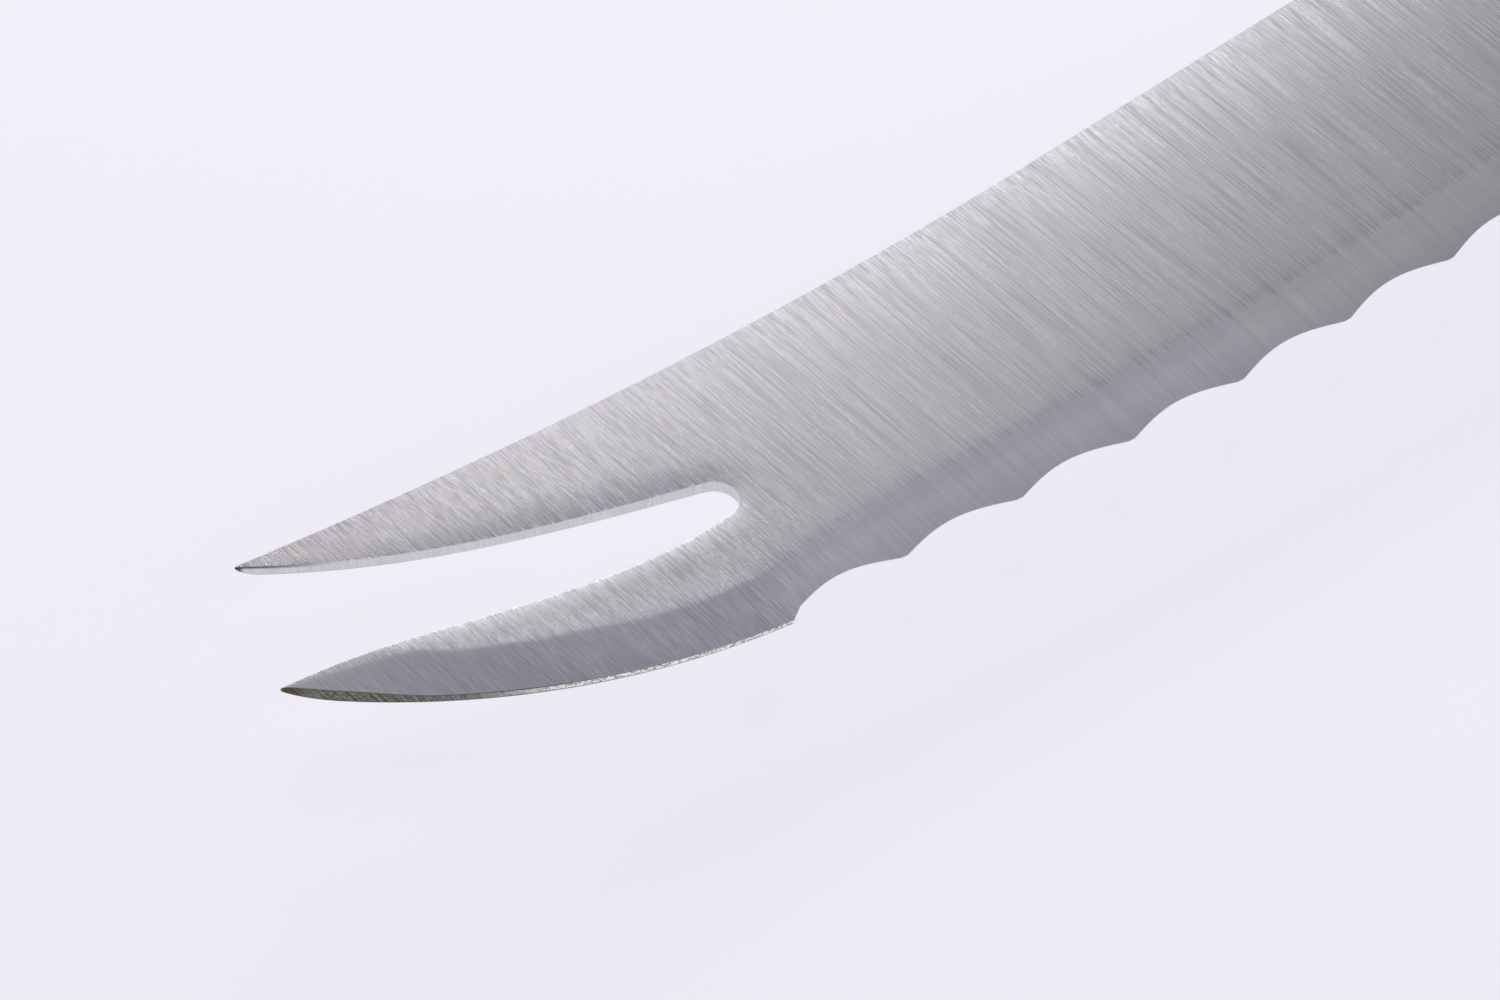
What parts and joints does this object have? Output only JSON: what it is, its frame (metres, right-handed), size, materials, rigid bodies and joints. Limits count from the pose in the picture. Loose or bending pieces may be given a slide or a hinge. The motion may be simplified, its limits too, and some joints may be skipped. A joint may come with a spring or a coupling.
{
  "type": "slicing knife",
  "caption": "Slicing knife with a scalloped edge, a forked tip and a full tang held between riveted wooden handle scales.",
  "frame": {"origin": "middle of the handle's length, on the flat outer side of the right scale, which the knife's handle lies on", "axes": "-X runs from the handle to the blade's tip, +Y towards the spine, +Z from the right face of the blade to its left face"},
  "size_m": [0.3239, 0.0412, 0.018],
  "materials": {
    "brushed_steel": "satin stainless steel, brushed across the blade",
    "handle_wood": "dark oiled hardwood, grain along the handle",
    "rivet_steel": "stainless steel, ground flush and polished"
  },
  "bodies": {
    "root": {"blade": "brushed_steel", "left_scale": "handle_wood", "right_scale": "handle_wood", "front_rivet_shank": "rivet_steel", "front_rivet_barrel": "rivet_steel", "middle_rivet_shank": "rivet_steel", "middle_rivet_barrel": "rivet_steel", "rear_rivet_shank": "rivet_steel", "rear_rivet_barrel": "rivet_steel"}
  },
  "joints": []
}
